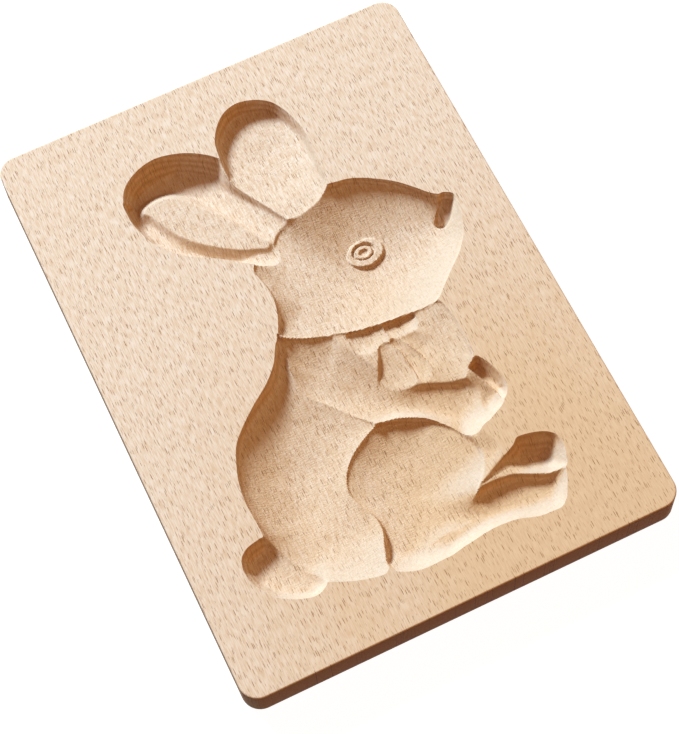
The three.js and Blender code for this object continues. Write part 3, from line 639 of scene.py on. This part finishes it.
# The eased edges, the sides and the underside, ring below ring
profile = [(flat_inset, 0)]
for k in range(round_steps + 1):
    a = k / round_steps * math.pi / 2
    profile.append((edge_round * (1 - math.sin(a)), edge_round * (1 - math.cos(a))))
profile += [(inset, thickness - down) for inset, down in reversed(profile)]
for inset, down in profile[1:]:
    points += [(x, y, thickness - down) for x, y in board_ring(inset)]
for level in range(len(profile) - 1):
    up = first_ring + level * ring_count
    down = up + ring_count
    for k in range(ring_count):
        n = (k + 1) % ring_count
        faces.append((up + k, down + k, down + n, up + n))
last_ring = first_ring + (len(profile) - 1) * ring_count
faces.append(tuple(reversed(range(last_ring, last_ring + ring_count))))

# The mesh carries how far each point is in the cut: 0 on the flat, 1 from full_cut down. Its
# shading breaks where two faces meet at more than the crease angle.
full_cut = 0.3
crease_angle = math.radians(38)
mesh = bpy.data.meshes.new("carved_board")
mesh.from_pydata([(x / 1000, y / 1000, z / 1000) for x, y, z in points], [], faces)
carved = mesh.attributes.new("carved", "FLOAT", "POINT")
values = np.zeros(len(points), np.float32)
values[:used.sum()] = np.clip(depth[used] / full_cut, 0, 1)
carved.data.foreach_set("value", values)
mesh.shade_smooth()
mesh.set_sharp_from_angle(angle=crease_angle)
mesh.validate()
carved_board = bpy.data.objects.new("carved_board", mesh)
bpy.context.scene.collection.objects.link(carved_board)


def linear(hex_colour):
    """An sRGB hex colour as linear red, green, blue and alpha."""
    channels = [int(hex_colour[i:i + 2], 16) / 255 for i in (1, 3, 5)]
    return [c / 12.92 if c <= 0.04045 else ((c + 0.055) / 1.055) ** 2.4 for c in channels] + [1.0]


def add(tree, kind, inputs=None, **settings):
    """Adds a node with its settings. An input is a value, a node or one of a node's outputs."""
    node = tree.nodes.new(kind)
    for name, value in settings.items():
        setattr(node, name, value)
    for socket, value in (inputs or {}).items():
        if isinstance(value, bpy.types.Node):
            value = value.outputs[0]
        if isinstance(value, bpy.types.NodeSocket):
            tree.links.new(value, node.inputs[socket])
        else:
            node.inputs[socket].default_value = value
    return node


# Steamed beech, bare, sanded on its faces and finely milled in the hollow: pale pinkish cream,
# yellower round the feet on the right and peppered with short brown rays along the grain. Slopes
# that face away from the lamp carry painted shade, browner the steeper they are, and slopes that
# face the lamp are painted greyer. It is matt, because bare wood scatters the light among its
# fibres and has next to no shine.
# A pattern's scale is how many of its marks fit into a metre across, along and down: 1000
# divided by the size of one in millimetres. Socket 0 of a Mix node is the second colour's
# share, and 6 and 7 are the two colours.
beech = bpy.data.materials.new("steamed_beech_bare")
beech.use_nodes = True
tree = beech.node_tree
tree.nodes.clear()
place = add(tree, "ShaderNodeTexCoord")
spot = place.outputs["Object"]
normal = place.outputs["Normal"]
carved_part = add(tree, "ShaderNodeAttribute", attribute_name="carved").outputs["Fac"]

# Tone: pale at the ears and warmer round the feet on the right, in broad bands of growth,
# 11 mm across, 167 mm long and 33 mm deep. The warm corner is a place in metres.
pale_wood = "#f3e2d2"
warm_wood = "#eac9a4"
bands_per_metre = (90, 6, 30)
band_strength = 1.2
warm_corner = (0.04, -0.08, 0.01)
corner_warmth = 1.6
warmth_per_metre = -18
band_place = add(tree, "ShaderNodeMapping", {0: spot, "Scale": bands_per_metre})
bands = add(tree, "ShaderNodeTexNoise", {
    0: band_place, "Scale": 1, "Detail": 3, "Roughness": 0.55})
from_corner = add(tree, "ShaderNodeVectorMath", {0: spot, 1: warm_corner}, operation="DISTANCE")
warmth = add(tree, "ShaderNodeMath", {
    0: from_corner.outputs["Value"], 1: warmth_per_metre, 2: corner_warmth},
    operation="MULTIPLY_ADD")
tone = add(tree, "ShaderNodeMath", {
    0: bands, 1: band_strength, 2: warmth}, operation="MULTIPLY_ADD")
warm_part = add(tree, "ShaderNodeMapRange", {
    0: tone, "From Min": -0.1, "From Max": 1.9}, interpolation_type="SMOOTHSTEP")
wood = add(tree, "ShaderNodeMix", {
    0: warm_part, 6: linear(pale_wood), 7: linear(warm_wood)}, data_type="RGBA").outputs[2]

# Fine streaks: pores and the thinnest rays. The real ones are less than 0.1 mm wide, which is
# too fine for the render to show, so they are drawn 0.3 mm by 3 mm.
streak_brown = "#d9b48c"
streaks_per_metre = (3400, 330, 800)
streak_strength = 0.6
streak_place = add(tree, "ShaderNodeMapping", {0: spot, "Scale": streaks_per_metre})
streaks = add(tree, "ShaderNodeTexNoise", {0: streak_place, "Scale": 1, "Detail": 2})
streak_part = add(tree, "ShaderNodeMapRange", {
    0: streaks, "From Min": 0.62, "From Max": 0.38, "To Max": streak_strength})
wood = add(tree, "ShaderNodeMix", {
    0: streak_part, 6: wood, 7: linear(streak_brown)}, data_type="RGBA").outputs[2]

# Rays: brown ribbons that run straight down into the board, so that they are short dashes on
# its faces and stripes on its sides. There is one to each 0.45 mm by 4.4 mm, and the largest
# are 0.2 mm by 2 mm.
ray_brown = "#9a6535"
rays_per_metre = (2200, 225, 0)
least_ray, ray_spread = 0.06, 0.17
palest_ray, ray_contrast = 0.3, 0.5
ray_place = add(tree, "ShaderNodeMapping", {0: spot, "Scale": rays_per_metre})
rays = add(tree, "ShaderNodeTexVoronoi", {0: ray_place, "Scale": 1}, voronoi_dimensions="2D")
ray_kind = add(tree, "ShaderNodeSeparateColor", {0: rays.outputs["Color"]})
ray_reach = add(tree, "ShaderNodeMath", {
    0: ray_kind.outputs[0], 1: ray_spread, 2: least_ray}, operation="MULTIPLY_ADD")
ray_gap = add(tree, "ShaderNodeMath", {
    0: ray_reach, 1: rays.outputs["Distance"]}, operation="SUBTRACT")
ray_mask = add(tree, "ShaderNodeMapRange", {
    0: ray_gap, "From Min": -0.02, "From Max": 0.05}, interpolation_type="SMOOTHSTEP")
ray_depth = add(tree, "ShaderNodeMath", {
    0: ray_kind.outputs[1], 1: ray_contrast, 2: palest_ray}, operation="MULTIPLY_ADD")
ray_part = add(tree, "ShaderNodeMath", {0: ray_mask, 1: ray_depth}, operation="MULTIPLY")
wood = add(tree, "ShaderNodeMix", {
    0: ray_part, 6: wood, 7: linear(ray_brown)}, data_type="RGBA").outputs[2]

# Painted shade: a slope that faces away from the lamp, towards the feet and a little to the
# right, is painted browner, the more so the steeper it is. A slope that faces the lamp, towards
# the ears, is painted greyer, which dims its light.
shade_way = (0.34, -0.94, 0)
gentle_shade_tint = "#f8f0e4"
steep_shade_tint = "#f7e2c4"
lit_side_dimming_grey = "#d9c4b0"
shade_facing = add(tree, "ShaderNodeVectorMath", {
    0: normal, 1: shade_way}, operation="DOT_PRODUCT").outputs["Value"]
gentle_shade_part = add(tree, "ShaderNodeMapRange", {
    0: shade_facing, "From Min": -0.04, "From Max": 0.3}, interpolation_type="SMOOTHSTEP")
wood = add(tree, "ShaderNodeMix", {
    0: gentle_shade_part, 6: wood, 7: linear(gentle_shade_tint)},
    data_type="RGBA", blend_type="MULTIPLY").outputs[2]
steep_shade_part = add(tree, "ShaderNodeMapRange", {
    0: shade_facing, "From Min": 0.5, "From Max": 0.9}, interpolation_type="SMOOTHSTEP")
wood = add(tree, "ShaderNodeMix", {
    0: steep_shade_part, 6: wood, 7: linear(steep_shade_tint)},
    data_type="RGBA", blend_type="MULTIPLY").outputs[2]
# Painted dimming: slopes that face the lamp are greyed
lit_side_dimming_part = add(tree, "ShaderNodeMapRange", {
    0: shade_facing, "From Min": -0.05, "From Max": -0.5}, interpolation_type="SMOOTHSTEP")
wood = add(tree, "ShaderNodeMix", {
    0: lit_side_dimming_part, 6: wood, 7: linear(lit_side_dimming_grey)}, data_type="RGBA").outputs[2]

# Growth rings: they lie nearly level in the board, so they show as level lines round the steep
# walls of the cut, one to each 1.6 mm of depth, and sway a little over each 11 mm. A ring is
# two units of the wave long, one up and one down.
ring_brown = "#a8703f"
half_rings_per_metre = (60, 0, 1250)
ring_sways_per_metre = (90, 90, 300)
ring_sway_strength = 3
ring_strength = 0.45
facing_up = add(tree, "ShaderNodeSeparateXYZ", {0: normal}).outputs["Z"]
wall_part = add(tree, "ShaderNodeMapRange", {
    0: facing_up, "From Min": 0.9, "From Max": 0.55}, interpolation_type="SMOOTHSTEP")
ring_sway_place = add(tree, "ShaderNodeMapping", {0: spot, "Scale": ring_sways_per_metre})
ring_sway = add(tree, "ShaderNodeTexNoise", {0: ring_sway_place, "Scale": 1, "Detail": 2})
ring_height = add(tree, "ShaderNodeVectorMath", {
    0: spot, 1: half_rings_per_metre}, operation="DOT_PRODUCT")
ring_turns = add(tree, "ShaderNodeMath", {
    0: ring_sway, 1: ring_sway_strength, 2: ring_height.outputs["Value"]},
    operation="MULTIPLY_ADD")
ring_wave = add(tree, "ShaderNodeMath", {0: ring_turns, 1: 1}, operation="PINGPONG")
# The rings show only on walls that face away from the lamp, so their brown there is partly painted
# shade
ring_shade_side = add(tree, "ShaderNodeMapRange", {0: shade_facing, "From Min": -0.3, "From Max": 0.1})
ring_and_shade_part = ring_wave
for limit in (wall_part, ring_shade_side, carved_part, ring_strength):
    ring_and_shade_part = add(tree, "ShaderNodeMath", {0: ring_and_shade_part, 1: limit}, operation="MULTIPLY")
wood = add(tree, "ShaderNodeMix", {
    0: ring_and_shade_part, 6: wood, 7: linear(ring_brown)}, data_type="RGBA").outputs[2]

# The cutter's marks: two sets of fine passes on the floors of the hollow, one across the board
# and one along it, of marks 0.33 mm by 1.25 mm. Each noise is turned in itself, so that the
# two sets don't repeat each other.
mark_brown = "#c79a68"
passes_per_metre = (800, 3000, 1200)
crossing_per_metre = (3000, 800, 1200)
mark_strength = 0.22
pass_place = add(tree, "ShaderNodeMapping", {
    0: spot, "Rotation": (0, 0, 0.6), "Scale": passes_per_metre})
passes = add(tree, "ShaderNodeTexNoise", {0: pass_place, "Scale": 1, "Detail": 2})
cross_place = add(tree, "ShaderNodeMapping", {
    0: spot, "Rotation": (0, 0, -0.5), "Scale": crossing_per_metre})
crossing = add(tree, "ShaderNodeTexNoise", {0: cross_place, "Scale": 1, "Detail": 2})
marks = add(tree, "ShaderNodeMath", {0: passes, 1: crossing}, operation="ADD")
mark_part = add(tree, "ShaderNodeMapRange", {
    0: marks, "From Min": 1.12, "From Max": 0.8, "To Max": mark_strength})
mark_part = add(tree, "ShaderNodeMath", {0: mark_part, 1: carved_part}, operation="MULTIPLY")
wood = add(tree, "ShaderNodeMix", {
    0: mark_part, 6: wood, 7: linear(mark_brown)}, data_type="RGBA").outputs[2]

# The board's sawn sides are browner than its sanded faces, and are made darker still with painted
# shade
sawn_and_shade_tint = "#a4875f"
side_shade_part = add(tree, "ShaderNodeMapRange", {
    0: facing_up, "From Min": 0.4, "From Max": 0.1}, interpolation_type="SMOOTHSTEP")
outside = add(tree, "ShaderNodeMath", {0: 1, 1: carved_part}, operation="SUBTRACT")
side_shade_part = add(tree, "ShaderNodeMath", {0: side_shade_part, 1: outside}, operation="MULTIPLY")
wood = add(tree, "ShaderNodeMix", {
    0: side_shade_part, 6: wood, 7: linear(sawn_and_shade_tint)},
    data_type="RGBA", blend_type="MULTIPLY").outputs[2]

# Relief: the cutter's marks are less than 0.1 mm high, and the rays lie up to 0.04 mm below
# the face around them
ray_sink = -0.5
relief_height = 0.0001
ray_pits = add(tree, "ShaderNodeMath", {0: ray_part, 1: ray_sink}, operation="MULTIPLY")
relief = add(tree, "ShaderNodeMath", {
    0: marks, 1: carved_part, 2: ray_pits}, operation="MULTIPLY_ADD")
bump = add(tree, "ShaderNodeBump", {
    "Height": relief, "Strength": 1, "Distance": relief_height})
shader = add(tree, "ShaderNodeBsdfPrincipled", {
    "Base Color": wood, "Roughness": 0.62, "Specular IOR Level": 0.1, "Normal": bump})
add(tree, "ShaderNodeOutputMaterial", {0: shader})

mesh.materials.append(beech)
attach(carved_board, "root")
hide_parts("mould_board")

# The table under the board: plain white, and bright enough to the eye to run into the white
# behind it, while the board's own soft shadow stays on it


def looked_at(tree):
    """1 for what the eye sees, straight on, in a shine or through glass; 0 for light on others."""
    path = add(tree, "ShaderNodeLightPath")
    seen = path.outputs["Is Camera Ray"]
    for ray in ("Is Glossy Ray", "Is Transmission Ray"):
        seen = add(tree, "ShaderNodeMath", {
            0: seen, 1: path.outputs[ray]}, operation="MAXIMUM").outputs[0]
    return seen


table_half = 1.5
table_paint = "#7d7c7b"
table_glow = 0.965
table_mesh = bpy.data.meshes.new("table")
table_mesh.from_pydata(
    [(sx * table_half, sy * table_half, 0) for sx, sy in ((-1, -1), (1, -1), (1, 1), (-1, 1))],
    [], [(0, 1, 2, 3)])
table = bpy.data.objects.new("table", table_mesh)
bpy.context.scene.collection.objects.link(table)
white = bpy.data.materials.new("white_table")
white.use_nodes = True
tree = white.node_tree
tree.nodes.clear()
glow = add(tree, "ShaderNodeMath", {0: looked_at(tree), 1: table_glow}, operation="MULTIPLY")
paint = add(tree, "ShaderNodeBsdfDiffuse", {"Color": linear(table_paint)})
light = add(tree, "ShaderNodeEmission", {"Color": (1, 1, 1, 1), "Strength": glow})
both = add(tree, "ShaderNodeAddShader", {0: paint, 1: light})
add(tree, "ShaderNodeOutputMaterial", {0: both})
table_mesh.materials.append(white)

# The light: one soft lamp behind the board, a little to the left and about 31 degrees up, so
# that the hollow's upper walls lie in their own shade. A warm fill comes from the right of
# the feet, and a dim brown one from all round, which the eye sees as plain white.
board_middle = Vector((0, 0, thickness / 1000))
light_distance = 3.0
lamp_azimuth = math.radians(106)
lamp_height = math.radians(31.5)
lamp_way = Vector((
    math.cos(lamp_height) * math.cos(lamp_azimuth),
    math.cos(lamp_height) * math.sin(lamp_azimuth),
    math.sin(lamp_height)))
fill_way = Vector((0.7, -0.6, 0.42)).normalized()
for name, way, size, colour, energy in (
        ("lamp", lamp_way, 0.66, (0.74, 0.915, 1), 162),
        ("front_fill", fill_way, 2.4, (1, 0.78, 0.4), 18)):
    lamp_data = bpy.data.lights.new(name, "AREA")
    lamp_data.shape = "DISK"
    lamp_data.size = size
    lamp_data.color = colour
    lamp_data.energy = energy
    lamp = bpy.data.objects.new(name, lamp_data)
    lamp.location = board_middle + way * light_distance
    lamp.rotation_euler = way.to_track_quat("Z", "Y").to_euler()
    bpy.context.scene.collection.objects.link(lamp)

world_brown = "#8a5c3c"
world = bpy.data.worlds.new("studio")
bpy.context.scene.world = world
world.use_nodes = True
tree = world.node_tree
tree.nodes.clear()
fill = add(tree, "ShaderNodeBackground", {"Color": linear(world_brown), "Strength": 1})
backdrop = add(tree, "ShaderNodeBackground", {"Color": (1, 1, 1, 1), "Strength": 1})
sky = add(tree, "ShaderNodeMixShader", {0: looked_at(tree), 1: fill, 2: backdrop})
add(tree, "ShaderNodeOutputWorld", {0: sky})

# The camera: above the near edge and a little to the left, turned slightly on its axis, as
# fitted to the corners of the board
camera_aim = Vector((-0.00156, -0.01222, thickness / 1000))
camera_distance = 0.5062
camera_azimuth = math.radians(-20.29)
camera_height = math.radians(66.08)
camera_roll = math.radians(-5.68)
camera_way = Vector((
    math.cos(camera_height) * math.sin(camera_azimuth),
    -math.cos(camera_height) * math.cos(camera_azimuth),
    math.sin(camera_height)))
camera_data = bpy.data.cameras.new("camera")
camera_data.lens = 100.2
camera_data.sensor_width = 36
camera_data.clip_start = 0.01
camera = bpy.data.objects.new("camera", camera_data)
turn = camera_way.to_track_quat("Z", "Y").to_matrix() @ Matrix.Rotation(camera_roll, 3, "Z")
camera.location = camera_aim + camera_way * camera_distance
camera.rotation_euler = turn.to_euler()
bpy.context.scene.collection.objects.link(camera)
bpy.context.scene.camera = camera
bpy.context.scene.view_settings.view_transform = "Standard"
